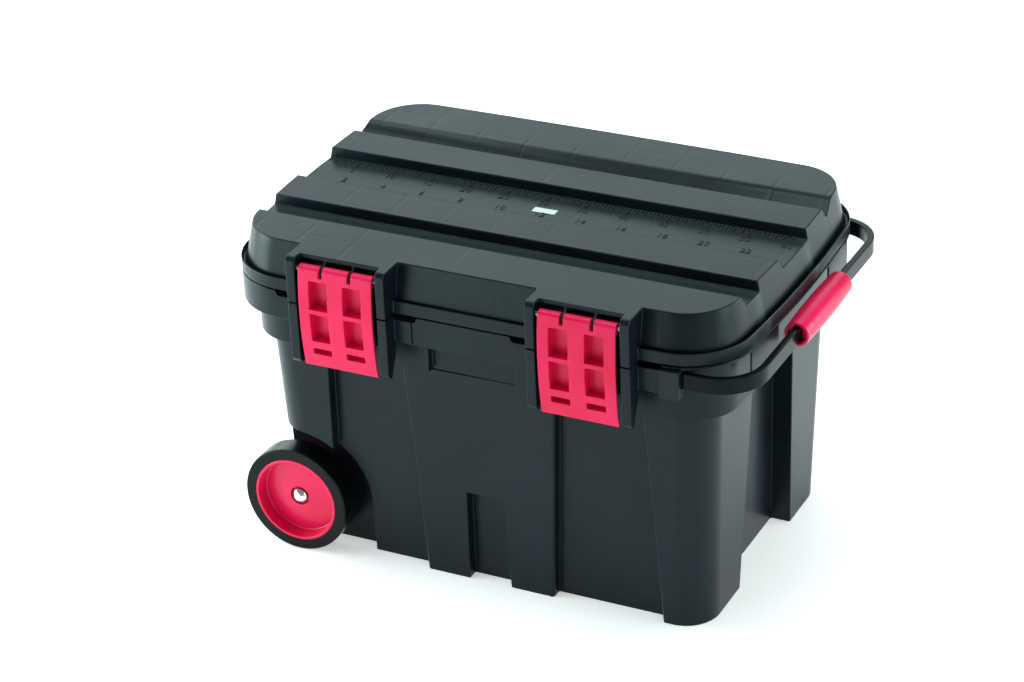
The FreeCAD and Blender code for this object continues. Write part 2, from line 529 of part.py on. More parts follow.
# ---------------------------------------------------------------- latches and pins
def latch(name, side):
    """A swing latch: a bowed plate with a rolled top edge, four deep cells and two slots. The
    plate leans in towards its foot."""
    body = new_body(name)
    middle = f"({side})*latch_x"
    chord = "(latch_pin_z-latch_foot)"
    rad = f"(({chord}*{chord}/4+latch_bow*latch_bow)/(2*latch_bow))"
    face, back = "-latch_pin_y-roll_rad", "-latch_pin_y-roll_rad+latch_skin"
    left, right = f"{middle}-latch_half", f"{middle}+latch_half"
    rail(body, "Pad", "plate", [(face, "latch_pin_z", rad), (f"{face}+latch_lean", "latch_foot"),
                                (f"{back}+latch_lean", "latch_foot", f"-({rad})"), (back, "latch_pin_z")],
         left, right)
    roll = new_sketch(body, "roll_line", "YZ_Plane", left)
    circle_in(roll, "-latch_pin_y", "latch_pin_z", "roll_rad")
    extrude(body, "Pad", "roll", roll, f"({right})-({left})")
    for edge, tag in ((-1, "a"), (1, "b")):
        outer_x = f"{middle}+({edge})*(latch_half-flange_in)"
        inner_x = f"{middle}+({edge})*(latch_half-flange_in-flange_skin)"
        flange = [(face, "latch_pin_z-8", rad), (f"{face}+latch_lean-1", "latch_foot+14"),
                  ("-latch_pin_y+1", "latch_foot+20"), ("-latch_pin_y+1", "latch_pin_z-8")]
        rail(body, "Pad", f"flange_{tag}", flange, *((outer_x, inner_x) if edge < 0 else (inner_x, outer_x)))
    # each hollow is a cup behind the plate; the cup starts inside the plate's thickness
    cups = [("slot", "slot_low", "slot_tall", f"{face}+0.9"), ("low_cell", "cell_low", "cell_tall", f"{face}-0.6"),
            ("high_cell", "cell_high", "cell_tall", f"{face}-0.6")]
    for edge, tag in ((-1, "a"), (1, "b")):
        ends = [f"{middle}+({edge})*cell_in", f"{middle}+({edge})*(cell_in+cell_wide)"]
        x0, x1 = ends if edge > 0 else ends[::-1]
        for cup, low, tall, start in cups:
            across(body, "Pad", f"{cup}_cup_{tag}",
                   box_path(f"{x0}-cell_skin", f"{x1}+cell_skin", f"{low}-cell_skin", f"{low}+{tall}+cell_skin"),
                   start, "-cell_floor+cell_skin")
            across(body, "Pocket", f"{cup}_{tag}", box_path(x0, x1, low, f"{low}+{tall}"),
                   f"{face}-2*latch_bow", "-cell_floor")
    slab(body, "Pad", "catch", box_path(f"{middle}-catch_half", f"{middle}+catch_half", f"{face}+1", "-catch_tip"),
         "catch_low", "catch_high")
    for edge, tag in ((-1, "a"), (1, "b")):
        spot = f"{middle}+({edge})*slit_x"
        across(body, "Pocket", f"slit_{tag}",
               box_path(f"{spot}-slit_wide/2", f"{spot}+slit_wide/2", "slit_foot", "latch_pin_z+roll_rad+2"),
               f"{face}-8", "-latch_pin_y+roll_rad+2")
    bore_x(body, "pin_bore", "-latch_pin_y", "latch_pin_z", "latch_pin_rad+pin_play", left, right)
    return body


def rod(name, axis, x, y, z, rad, long):
    """A plain round rod, centred at a point and lying along X or Y."""
    pin = doc.addObject("Part::Cylinder", name)
    pin.Label = name
    pin.setExpression("Radius", bound(rad))
    pin.setExpression("Height", bound(long))
    spot = {"x": x, "y": y, "z": z}
    spot[axis] = f"{spot[axis]}-({long})/2"
    pin.Placement.Rotation = FreeCAD.Rotation(
        FreeCAD.Vector(0, 1, 0) if axis == "x" else FreeCAD.Vector(-1, 0, 0), 90)
    for letter, text in spot.items():
        pin.setExpression(f".Placement.Base.{letter}", bound(text))
    return pin


nodes = [tub, lid]
for side, hand in ((-1, "left"), (1, "right")):
    nodes.append(latch(f"latch_{hand}", side))
    nodes.append(rod(f"latch_pin_{hand}", "x", f"({side})*latch_x", "-latch_pin_y", "latch_pin_z",
                     "latch_pin_rad", "2*(cheek_in+pin_bite)"))
    nodes.append(rod(f"hinge_pin_{hand}", "x", f"({side})*hinge_x", "hinge_y", "hinge_z",
                     "hinge_pin_rad", "2*hinge_half"))

# ---------------------------------------------------------------- axle and wheels
nodes.append(rod("axle", "y", "wheel_x", "0", "wheel_rad", "axle_rad", "2*axle_half"))


def place_wheel_part(body, side):
    """Parts are turned about their own Y axis and then stand on the axle; the back ones are turned round."""
    spin = FreeCAD.Rotation(FreeCAD.Vector(0, 0, 1), 0 if side < 0 else 180)
    body.Placement = FreeCAD.Placement(FreeCAD.Vector(number("wheel_x"), 0, number("wheel_rad")), spin)
    body.setExpression(".Placement.Base.x", bound("wheel_x"))
    body.setExpression(".Placement.Base.z", bound("wheel_rad"))
    return body


def hub(name, side):
    body = new_body(name)
    face, back = "-tyre_face", "-tyre_face+tyre_wide"
    floor = "-tyre_face-hub_lip+dish_deep"
    turned(body, "hub", [
        ("axle_rad+hub_play", back), ("axle_rad+hub_play", f"{floor}-4.5"), ("12.5", f"{floor}-4.5"),
        ("14", floor), ("dish_floor_rad", floor), ("dish_rad", f"{face}-hub_lip+1"),
        ("dish_rad+1", f"{face}-hub_lip"), ("hub_rad-0.8", f"{face}-hub_lip"), ("hub_rad", f"{face}-hub_lip+1"),
        ("hub_rad", f"{back}-3"), ("hub_rad-hub_web", f"{back}-3"), ("dish_floor_rad-2", f"{floor}+hub_web"),
        ("15", f"{floor}+hub_web"), ("14", back)])
    return place_wheel_part(body, side)


def tyre(name, side):
    body = new_body(name)
    face, back = "-tyre_face", "-tyre_face+tyre_wide"
    turned(body, "tyre", [
        ("hub_rad", back), ("hub_rad", face), ("wheel_rad-5", face, "7"), ("wheel_rad-1", f"{face}+3"),
        ("wheel_rad", f"{face}+6"), ("wheel_rad", f"{back}-6"), ("wheel_rad-1", f"{back}-3", "7"),
        ("wheel_rad-5", back)])
    return place_wheel_part(body, side)


def cap(name, side):
    body = new_body(name)
    seat = "-tyre_face-hub_lip+dish_deep-4.8"
    turned(body, "cap", [
        ("0", f"{seat}-6.3"), ("0", f"{seat}-3.2"), ("axle_rad", f"{seat}-3.2"), ("axle_rad", seat),
        ("cap_rad", seat), ("cap_rad", f"{seat}-1.5", "-12"), ("4.5", f"{seat}-5.6", "-14")])
    return place_wheel_part(body, side)


def washer(name, side):
    body = new_body(name)
    turned(body, "washer", [
        ("axle_rad", "-boss_dep-washer_thick"), ("washer_rad", "-boss_dep-washer_thick"),
        ("washer_rad", "-boss_dep"), ("axle_rad", "-boss_dep")])
    return place_wheel_part(body, side)


for side, hand in ((-1, "front"), (1, "back")):
    nodes += [hub(f"wheel_hub_{hand}", side), tyre(f"tyre_{hand}", side), cap(f"axle_cap_{hand}", side),
              washer(f"axle_washer_{hand}", side)]

# ---------------------------------------------------------------- handle
bar = new_body("handle_bar")
nodes.append(bar)
deep, reach, bend, thick = "bar_dep", "bar_reach", "bar_bend", "bar_thick"
slab(bar, "Pad", "bar", [
    ("arm_end", f"-{deep}"), (f"{reach}-{bend}", f"-{deep}", bend), (reach, f"-{deep}+{bend}"),
    (reach, f"{deep}-{bend}", bend), (f"{reach}-{bend}", deep), ("arm_end", deep),
    ("arm_end", f"{deep}-{thick}"), (f"{reach}-{bend}", f"{deep}-{thick}", f"-({bend}-{thick})"),
    (f"{reach}-{thick}", f"{deep}-{bend}"), (f"{reach}-{thick}", f"-{deep}+{bend}", f"-({bend}-{thick})"),
    (f"{reach}-{bend}", f"-{deep}+{thick}"), ("arm_end", f"-{deep}+{thick}")], "bar_low", "bar_low+bar_tall")
holes = new_sketch(bar, "rivet_holes", "XY_Plane", "bar_low")
for sign, y in both("bar_dep-bar_thick/2"):
    circle_in(holes, "arm_end+10", y, "rivet_rad")
extrude(bar, "Pocket", "rivet_hole", holes, "bar_tall", reverse=True)

grip = new_body("handle_grip")
nodes.append(grip)
middle = "bar_reach-bar_thick/2"
level = "bar_low+bar_tall/2"
# the sleeve swells gently in the middle and has a round mouth at each end
swell = "((grip_half*grip_half+grip_swell*grip_swell)/(2*grip_swell))"
turned(grip, "sleeve", [
    ("0", "-grip_half"), ("grip_rad-1", "-grip_half", "1"), ("grip_rad", "-grip_half+1", swell),
    ("grip_rad", "grip_half-1", "1"), ("grip_rad-1", "grip_half"), ("0", "grip_half")])
across(grip, "Pocket", "bar_way", box_path("-bar_thick/2", "bar_thick/2", "-bar_tall/2", "bar_tall/2"),
       "-grip_half-1", "grip_half+1")
for name, start in (("front", "grip_half-mouth_deep"), ("back", "-grip_half-1")):
    mouth = new_sketch(grip, f"{name}_mouth_line", "XZ_Plane", start)
    circle_in(mouth, "0", "0", "mouth_rad")
    extrude(grip, "Pocket", f"{name}_mouth", mouth, "mouth_deep+1", reverse=True)
grip.setExpression(".Placement.Base.x", bound(middle))
grip.setExpression(".Placement.Base.z", bound(level))


def guide(name, side):
    """The block that leads one arm of the handle out of the rim band."""
    body = new_body(name)
    near, far = "top_half_dep+rim_run-tier_in", "guide_face"
    ys = (f"-{far}", f"-({near})") if side < 0 else (near, far)
    slab(body, "Pad", "block", box_path("guide_x", "guide_x+guide_long", *ys), "guide_low", f"{RIM}-deck")
    hole = ("bar_dep-bar_thick-guide_play", "bar_dep+guide_play")
    ys = (f"-({hole[1]})", f"-({hole[0]})") if side < 0 else hole
    rail(body, "Pocket", "arm_way",
         [(ys[0], "bar_low-guide_play"), (ys[1], "bar_low-guide_play"),
          (ys[1], "bar_low+bar_tall+guide_play"), (ys[0], "bar_low+bar_tall+guide_play")],
         "guide_x-1", "guide_x+guide_long+1")
    return body


def shoe(name, side):
    """The plastic shoe hooked over the end of an arm, which meets the guide and ends the handle's travel."""
    body = new_body(name)
    ys = ("-bar_dep", "-shoe_in") if side < 0 else ("shoe_in", "bar_dep")
    slab(body, "Pad", "block", box_path("arm_end-4", "arm_end-4+shoe_long", *ys), "shoe_low", "shoe_low+shoe_tall")
    arm = ("bar_dep-bar_thick", "bar_dep")
    ys = (f"-({arm[1]})", f"-({arm[0]})") if side < 0 else arm
    rail(body, "Pocket", "socket",
         [(ys[0], "bar_low"), (ys[1], "bar_low"), (ys[1], "bar_low+bar_tall"), (ys[0], "bar_low+bar_tall")],
         "arm_end", "arm_end+shoe_long")
    hole = new_sketch(body, "rivet_hole_line", "XY_Plane", "shoe_low")
    circle_in(hole, "arm_end+10", f"({side})*(bar_dep-bar_thick/2)", "rivet_rad")
    extrude(body, "Pocket", "rivet_hole", hole, "shoe_tall", reverse=True)
    return body


rivets = []
for side, hand in ((-1, "front"), (1, "back")):
    nodes += [guide(f"handle_guide_{hand}", side), shoe(f"handle_shoe_{hand}", side)]
    rivet = doc.addObject("Part::Cylinder", f"rivet_{hand}")
    rivet.setExpression("Radius", bound("rivet_rad"))
    rivet.setExpression("Height", bound("shoe_tall"))
    rivet.setExpression(".Placement.Base.x", bound("arm_end+10"))
    rivet.setExpression(".Placement.Base.y", bound(f"({side})*(bar_dep-bar_thick/2)"))
    rivet.setExpression(".Placement.Base.z", bound("shoe_low"))
    rivets.append(rivet)
pair = doc.addObject("Part::Compound", "handle_rivets")
pair.Label = "handle_rivets"
pair.Links = rivets
nodes.append(pair)

# ---------------------------------------------------------------- check and write
doc.recompute()
bad = [o.Label for o in doc.Objects if "Invalid" in o.State or "Error" in o.State]
if bad:
    raise RuntimeError(f"failed objects: {bad}")
os.makedirs("parts", exist_ok=True)
for node in nodes:
    shape = node.Shape
    if shape.isNull() or not shape.isValid() or not shape.Solids:
        raise RuntimeError(f"{node.Label}: the shape is empty or broken")
    shape.exportStep(f"parts/{node.Label}.step")
    box = shape.BoundBox
    print(f"{node.Label:20s} solids {len(shape.Solids)}  volume {shape.Volume / 1000:9.2f} cm3  "
          f"x {box.XMin:7.1f} {box.XMax:7.1f}  y {box.YMin:7.1f} {box.YMax:7.1f}  z {box.ZMin:6.1f} {box.ZMax:6.1f}")
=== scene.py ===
import bpy, bmesh
import json, math
from mathutils import Matrix, Vector


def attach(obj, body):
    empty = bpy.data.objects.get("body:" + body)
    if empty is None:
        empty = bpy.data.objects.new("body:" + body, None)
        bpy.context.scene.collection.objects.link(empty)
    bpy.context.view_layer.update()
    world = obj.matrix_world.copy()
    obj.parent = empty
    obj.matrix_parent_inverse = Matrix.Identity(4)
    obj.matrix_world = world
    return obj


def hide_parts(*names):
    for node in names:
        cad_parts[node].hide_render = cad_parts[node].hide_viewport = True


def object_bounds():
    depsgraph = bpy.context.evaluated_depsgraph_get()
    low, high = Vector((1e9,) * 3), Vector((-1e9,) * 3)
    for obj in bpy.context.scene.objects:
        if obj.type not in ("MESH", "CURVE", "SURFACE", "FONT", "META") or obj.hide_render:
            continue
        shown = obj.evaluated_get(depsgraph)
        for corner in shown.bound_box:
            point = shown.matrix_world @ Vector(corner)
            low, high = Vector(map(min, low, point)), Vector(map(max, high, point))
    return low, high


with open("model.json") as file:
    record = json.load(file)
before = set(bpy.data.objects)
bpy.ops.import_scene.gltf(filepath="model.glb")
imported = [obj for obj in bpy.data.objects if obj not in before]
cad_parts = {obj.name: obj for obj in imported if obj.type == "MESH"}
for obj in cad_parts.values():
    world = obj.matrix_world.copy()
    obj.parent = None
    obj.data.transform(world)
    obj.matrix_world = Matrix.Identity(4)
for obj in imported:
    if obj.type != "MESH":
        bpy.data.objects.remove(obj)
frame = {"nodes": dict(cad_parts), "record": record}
nodes = frame["nodes"]
bodyOf = {name: body for body, members in frame["record"]["behaviour"]["bodies"].items() for name in members}
cadLow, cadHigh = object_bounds()
print("frame loaded:", len(nodes), "nodes")


# ---- node trees: an expression on values adds its Math nodes
class Value:
    def __init__(self, tree, socket):
        self.tree, self.socket = tree, socket

    def op(self, kind, other=None, flip=False):
        inputs = [self, other] if other is not None else [self]
        if flip:
            inputs.reverse()
        return self.tree.node("ShaderNodeMath", {"operation": kind}, dict(enumerate(inputs)))

    def __add__(self, other): return self.op("ADD", other)
    def __sub__(self, other): return self.op("SUBTRACT", other)
    def __rsub__(self, other): return self.op("SUBTRACT", other, True)
    def __mul__(self, other): return self.op("MULTIPLY", other)
    def __mod__(self, other): return self.op("FLOORED_MODULO", other)
    def __lt__(self, other): return self.op("LESS_THAN", other)
    def __abs__(self): return self.op("ABSOLUTE")
    def most(self, other): return self.op("MAXIMUM", other)

    def ramp(self, low, high, toLow=0.0, toHigh=1.0):  # smooth step between two limits
        return self.tree.node("ShaderNodeMapRange", {"interpolation_type": "SMOOTHSTEP"},
                              {0: self, 1: low, 2: high, 3: toLow, 4: toHigh})


class Tree:  # nodes and links of one material or one Geometry Nodes group
    def node(self, kind, settings=None, inputs=None, out=0):
        made = self.nodes.new(kind)
        for key, value in (settings or {}).items():
            setattr(made, key, value)
        for key, value in (inputs or {}).items():
            self.feed(made.inputs[key], value)
        return Value(self, made.outputs[out])

    def feed(self, socket, value):
        if isinstance(value, Value):
            self.links.new(value.socket, socket)
        else:
            colour = isinstance(value, tuple) and socket.type == "RGBA"
            socket.default_value = (*value, 1) if colour else value


class Finish(Tree):  # one material
    def __init__(self, name, **fixed):
        self.material = bpy.data.materials.new(name)
        self.material.use_nodes = True
        self.nodes, self.links = self.material.node_tree.nodes, self.material.node_tree.links
        self.shader = self.nodes["Principled BSDF"]
        for socket, value in fixed.items():
            self.set(socket.replace("_", " "), value)

    def set(self, socket, value):
        self.feed(self.shader.inputs[socket], value)

    def coords(self):
        return self.node("ShaderNodeTexCoord", out=3)

    def axes(self):
        split = self.nodes.new("ShaderNodeSeparateXYZ")
        self.feed(split.inputs[0], self.coords())
        return [Value(self, split.outputs[i]) for i in range(3)]

    def noise(self, scale, detail=3.0, rough=0.5, stretch=None):
        place = self.coords()
        if stretch:
            place = self.node("ShaderNodeMapping", None, {0: place, 3: stretch})
        return self.node("ShaderNodeTexNoise", None, {"Vector": place, "Scale": scale, "Detail": detail,
                                                      "Roughness": rough})

    def mix(self, share, first, second):
        return self.node("ShaderNodeMix", {"data_type": "RGBA"}, {0: share, 6: first, 7: second}, out=2)

    def bump(self, height, strength, distance, under=None):
        inputs = {"Height": height, "Strength": strength, "Distance": distance}
        if under:
            inputs["Normal"] = under
        return self.node("ShaderNodeBump", None, inputs)


class Recipe(Tree):  # one Geometry Nodes group whose inputs are named sizes
    def __init__(self, name, sizes):
        self.group = bpy.data.node_groups.new(name, "GeometryNodeTree")
        self.nodes, self.links = self.group.nodes, self.group.links
        self.group.interface.new_socket("Shape", in_out="OUTPUT", socket_type="NodeSocketGeometry")
        for label, size in sizes.items():
            kind = "NodeSocketInt" if isinstance(size, int) else "NodeSocketFloat"
            self.group.interface.new_socket(label, in_out="INPUT", socket_type=kind)
        entry = self.nodes.new("NodeGroupInput")
        self.given = {label: Value(self, entry.outputs[label]) for label in sizes}
        self.sizes = sizes

    def vector(self, x, y, z):
        return self.node("ShaderNodeCombineXYZ", None, {0: x, 1: y, 2: z})

    def mesh(self, name, shape, material):  # realizes the shape and returns it as a plain mesh object
        real = self.node("GeometryNodeRealizeInstances", None, {0: shape})
        painted = self.node("GeometryNodeSetMaterial", None, {"Geometry": real, "Material": material})
        self.feed(self.nodes.new("NodeGroupOutput").inputs[0], painted)
        carrier = bpy.data.objects.new(name + "Carrier", bpy.data.meshes.new(name + "Carrier"))
        maker = carrier.modifiers.new("maker", "NODES")
        maker.node_group = self.group
        for item in self.group.interface.items_tree:
            if item.in_out == "INPUT":
                maker[item.identifier] = self.sizes[item.name]
        return baked(carrier, name)


def baked(carrier, name):  # the carrier's evaluated shape as a plain mesh object; the carrier goes
    bpy.context.scene.collection.objects.link(carrier)
    graph = bpy.context.evaluated_depsgraph_get()
    graph.update()
    mesh = bpy.data.meshes.new_from_object(carrier.evaluated_get(graph), depsgraph=graph)
    mesh.name = name
    piece = bpy.data.objects.new(name, mesh)
    bpy.context.scene.collection.objects.link(piece)
    bpy.data.objects.remove(carrier)
    return piece


def linear(r, g, b):  # a colour in 0-255 as the renderer's light values
    return tuple((c / 255 / 12.92) if c <= 10 else ((c / 255 + 0.055) / 1.055) ** 2.4 for c in (r, g, b))


# ---- moulded black plastic, with a lid version that shows its hidden ribs and a painted sheen, a lighter strip on the groove floors just in front of each step's foot
blackPlastic = {"deep": (0.0026, 0.005, 0.0082), "dusty": (0.0052, 0.009, 0.0136), "spread": (0.35, 0.75),
                "cloud": (6, 4, 0.6), "streak": (9, 3, 0.5, (1.0, 1.0, 0.15)), "uneven": (0.14, 0.12, 0.13),
                "roughness": 0.31, "specular": 0.19, "sheen": (0.86, 1.0, 0.96),
                "grain": (1500, 2), "grainShare": 0.35, "grainDepth": 0.00012}
lidRibs = {"pitch": 0.0635, "firstX": 0.0058, "halfWide": 0.0042, "share": 0.5, "depth": 0.0004,
           "longPitch": 0.0425, "longFirst": -0.0695, "longShare": 0.4,
           "patch": (9, 2), "patchSpread": (0.42, 0.62, 0.1, 1),
           "valley": 0.138, "valleyHalf": 0.009, "valleyShare": 1.5}
lidScale = {"First X": -0.3004, "Edge Y": 0.0415, "Floor Z": 0.398, "Step": 0.005, "Count": 119,
            "Short": 0.0065, "Long": 0.0105, "Longest": 0.0175, "Ridge": 0.0009, "Skip": 2}
# painted sheen: a lighter colour on the groove floors just in front of the step feet, standing in for the
# reflection that the steps block there
paintedFootSheen = {"feet": (-0.0965, 0.0415), "wide": 0.026, "edge": 0.001, "above": 0.0005,
             "colour": (0.026, 0.038, 0.038)}


def blackMoulding(name, ribs=None):
    look = blackPlastic
    f = Finish(name, Specular_IOR_Level=look["specular"], Specular_Tint=look["sheen"])
    cloud, streak = f.noise(*look["cloud"]), f.noise(*look["streak"])
    colour = f.mix(cloud.ramp(*look["spread"]), look["deep"], look["dusty"])
    inClouds, inStreaks, taken = look["uneven"]
    f.set("Roughness", cloud * inClouds + streak * inStreaks + (look["roughness"] - taken))
    grain = f.bump(f.noise(*look["grain"]), look["grainShare"], look["grainDepth"])
    if ribs:
        x, y, z = f.axes()
        # painted sheen: lighten the groove floor towards each step's foot, where the step blocks the
        # reflection
        for foot in paintedFootSheen["feet"]:
            paintedSheenMask = y.ramp(foot - paintedFootSheen["wide"], foot - paintedFootSheen["edge"]) * (y < foot)
            paintedSheenMask = paintedSheenMask * (z < lidScale["Floor Z"] + paintedFootSheen["above"])
            colour = f.mix(paintedSheenMask, colour, paintedFootSheen["colour"])
        cross = abs((x - ribs["firstX"]) % ribs["pitch"] - ribs["pitch"] / 2).ramp(0, ribs["halfWide"], 1, 0)
        along = abs((y - ribs["longFirst"]) % ribs["longPitch"] - ribs["longPitch"] / 2)
        sunk = cross.most(along.ramp(0, ribs["halfWide"], ribs["longShare"], 0))
        patch = f.noise(*ribs["patch"]).ramp(*ribs["patchSpread"])
        valley = (abs(y - ribs["valley"]) < ribs["valleyHalf"]) * ribs["valleyShare"]
        grain = f.bump(1 - sunk * (patch + valley), ribs["share"], ribs["depth"], grain)
    f.set("Base Color", colour)
    f.set("Normal", grain)
    return f.material


# ---- red plastic
redPlastic = {"deep": (0.63, 0.003, 0.052), "pale": (0.7, 0.005, 0.075), "spread": (0.3, 0.7),
              "cloud": (16, 3), "uneven": 0.08, "coatRoughness": 0.12,
              "grain": (1100, 2), "grainShare": 0.25, "grainDepth": 0.00008}


def redMoulding(name, roughness, specular, coat):
    look = redPlastic
    f = Finish(name, Specular_IOR_Level=specular, Coat_Weight=coat, Coat_Roughness=look["coatRoughness"])
    cloud = f.noise(*look["cloud"])
    f.set("Base Color", f.mix(cloud.ramp(*look["spread"]), look["deep"], look["pale"]))
    f.set("Roughness", cloud * look["uneven"] + roughness)
    f.set("Normal", f.bump(f.noise(*look["grain"]), look["grainShare"], look["grainDepth"]))
    return f.material


# ---- rubber, metals, lacquer, trim, scale and the pale plate
plainLook = {"cloud": (28, 3), "spread": (0.3, 0.75), "uneven": (0.1, 0.05), "grain": (900, 2, 0.5),
             "grainShare": 0.25}


def plainFinish(name, low, high, roughness, metallic=0.0, specular=0.5, depth=0.00008, stretch=None):
    look = plainLook
    f = Finish(name, Metallic=metallic, Specular_IOR_Level=specular)
    cloud = f.noise(*look["cloud"])
    inClouds, taken = look["uneven"]
    f.set("Base Color", f.mix(cloud.ramp(*look["spread"]), low, high))
    f.set("Roughness", cloud * inClouds + (roughness - taken))
    f.set("Normal", f.bump(f.noise(*look["grain"], stretch), look["grainShare"], depth))
    return f.material


finishes = {
    "tub": blackMoulding("tubPlastic"),
    "lid": blackMoulding("lidPlastic", lidRibs),
    "latchRed": redMoulding("latchRed", roughness=0.3, specular=0.22, coat=0.0),
    "hubRed": redMoulding("hubRed", roughness=0.26, specular=0.25, coat=0.1),
    "gripRed": redMoulding("gripRed", roughness=0.3, specular=0.2, coat=0.05),
    "tyre": plainFinish("tyreRubber", low=(0.002, 0.003, 0.0035), high=(0.004, 0.005, 0.006),
                        roughness=0.28, specular=0.13, depth=0.00015),
    "chrome": plainFinish("capChrome", low=(0.78, 0.78, 0.8), high=(0.86, 0.86, 0.87),
                          roughness=0.12, metallic=1.0, depth=0.00001),
    "steel": plainFinish("pinSteel", low=(0.42, 0.42, 0.44), high=(0.5, 0.5, 0.52),
                         roughness=0.3, metallic=1.0, stretch=(0.05, 1, 1)),
    "bar": plainFinish("barLacquer", low=(0.002, 0.003, 0.004), high=(0.004, 0.006, 0.007),
                       roughness=0.17, specular=0.09, depth=0.00003),
    "trim": plainFinish("trimPlastic", low=(0.003, 0.006, 0.009), high=(0.005, 0.009, 0.012),
                        roughness=0.34, specular=0.22),
    "scale": plainFinish("scaleRelief", low=(0.006, 0.009, 0.01), high=(0.008, 0.012, 0.013),
                         roughness=0.6, specular=0.15),
    "plate": plainFinish("blankPlate", low=linear(192, 198, 198), high=linear(206, 212, 212),
                         roughness=0.4, depth=0.00002),
}
nodeFinish = {
    "tub_shell": "tub", "lid_shell": "lid", "latch_left": "latchRed", "latch_right": "latchRed",
    "wheel_hub_front": "hubRed", "wheel_hub_back": "hubRed", "handle_grip": "gripRed",
    "tyre_front": "tyre", "tyre_back": "tyre", "axle_cap_front": "chrome", "axle_cap_back": "chrome",
    "handle_bar": "bar", "axle": "steel", "latch_pin_left": "steel", "latch_pin_right": "steel",
    "hinge_pin_left": "steel", "hinge_pin_right": "steel", "handle_rivets": "steel",
}
for name, piece in nodes.items():
    piece.data.materials.clear()
    piece.data.materials.append(finishes[nodeFinish.get(name, "trim")])
print("finishes made:", len(finishes))


# ---- moulded pieces: each keeps its node's shape, with the corners rounded as a mould leaves them
roundWidths = {"tub_shell": 0.0012, "lid_shell": 0.0014, "latch_left": 0.0007, "latch_right": 0.0007,
               "handle_bar": 0.0007, "handle_grip": 0.0008, "handle_guide_front": 0.0008,
               "handle_guide_back": 0.0008}
rounding = {"join": 0.00002, "flat": 0.3, "sharp": 32, "follow": 40, "mostCorners": 8, "branching": 60,
            "small": 0.002, "roomShared": 0.42, "roomAlone": 0.85, "crease": 0.08, "segments": 2,
            "flatWeight": 90}


def cornerRoom(edge, sharp):  # how wide an edge can be rounded before it meets the next one
    along = (edge.verts[1].co - edge.verts[0].co).normalized()
    room = 1.0
    for loop in edge.link_loops:
        for beside in (loop.link_loop_prev.edge, loop.link_loop_next.edge):
            way = beside.verts[1].co - beside.verts[0].co
            if abs(way.normalized().dot(along)) > math.cos(math.radians(rounding["follow"])):
                continue
            room = min(room, way.length * rounding["roomShared" if beside in sharp else "roomAlone"])
    return room


def mayBranch(face):  # a flat face that may run round a hole, which the rounding would otherwise cover over
    area = face.calc_area()
    return area < rounding["small"] or face.calc_perimeter() ** 2 / area > rounding["branching"]


def rounded(name):
    node, width = nodes[name], roundWidths[name]
    shape = bmesh.new()
    shape.from_mesh(node.data)
    bmesh.ops.remove_doubles(shape, verts=shape.verts, dist=rounding["join"])
    bmesh.ops.dissolve_limit(shape, angle_limit=math.radians(rounding["flat"]), verts=shape.verts,
                             edges=shape.edges)
    rings = [f for f in shape.faces if len(f.verts) > rounding["mostCorners"] and mayBranch(f)]
    bmesh.ops.triangulate(shape, faces=rings, quad_method="BEAUTY", ngon_method="BEAUTY")
    weights = shape.edges.layers.float.new("bevel_weight_edge")
    sharp = {e for e in shape.edges
             if len(e.link_faces) == 2 and e.calc_face_angle() > math.radians(rounding["sharp"])}
    for edge in sharp:
        edge[weights] = min(1.0, cornerRoom(edge, sharp) / width)
        edge.smooth = edge[weights] > rounding["crease"]
    for face in shape.faces:
        face.smooth = True
    mesh = bpy.data.meshes.new(name + "Merged")
    shape.to_mesh(mesh)
    shape.free()
    mesh.materials.append(node.data.materials[0])
    carrier = bpy.data.objects.new(name + "Carrier", mesh)
    corner = carrier.modifiers.new("corner", "BEVEL")
    corner.limit_method, corner.width, corner.segments = "WEIGHT", width, rounding["segments"]
    corner.use_clamp_overlap, corner.miter_outer = False, "MITER_ARC"
    even = carrier.modifiers.new("even", "WEIGHTED_NORMAL")
    even.keep_sharp, even.weight = True, rounding["flatWeight"]
    words = name.split("_")
    piece = baked(carrier, words[0] + "".join(w.capitalize() for w in words[1:]) + "Moulding")
    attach(piece, bodyOf[name])
    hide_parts(name)
    print("rounded", name, len(piece.data.polygons), "faces")


for name in roundWidths:
    rounded(name)

# ---- wheels, turned about the axle: a profile point is a radius and a distance from the middle plane
wheel = {"axle": (-0.2446, 0.0665), "steps": 112, "inner": 0.167, "tyreFace": 0.1975, "rad": 0.0665,
         "edge": 0.0011, "innerEdge": 0.003, "seat": 0.053, "join": 0.00001,
         "round": 0.0011, "roundSegments": 3, "sharp": 22}
hubForm = {"face": 0.198, "ringIn": 0.0496, "wallFoot": 0.0482, "floor": 0.182, "crown": 0.187, "eye": 0.012,
           "bore": 0.00606, "flangeEnd": 0.17, "web": 0.0045, "boss": 0.0145, "footCorner": 0.001,
           "bossDrop": 0.0065}


def hubProfile():
    w, h = wheel, hubForm
    return [(h["bore"], w["inner"]), (h["bore"], h["floor"]), (h["eye"], h["floor"]), (h["eye"], h["crown"]),
            (h["wallFoot"] - h["footCorner"], h["floor"]), (h["wallFoot"], h["floor"] + h["footCorner"]),
            (h["ringIn"], h["face"]), (w["seat"], h["face"]), (w["seat"], h["flangeEnd"]),
            (w["seat"] - h["web"], h["flangeEnd"]), (h["wallFoot"] - h["web"], h["floor"] - h["web"]),
            (h["boss"], h["crown"] - h["bossDrop"]), (h["boss"], w["inner"])]


def tyreProfile():
    w = wheel
    return [(w["seat"], w["inner"]), (w["seat"], w["tyreFace"]), (w["rad"] - w["edge"], w["tyreFace"]),
            (w["rad"], w["tyreFace"] - w["edge"]), (w["rad"], w["inner"] + w["innerEdge"]),
            (w["rad"] - w["innerEdge"], w["inner"])]


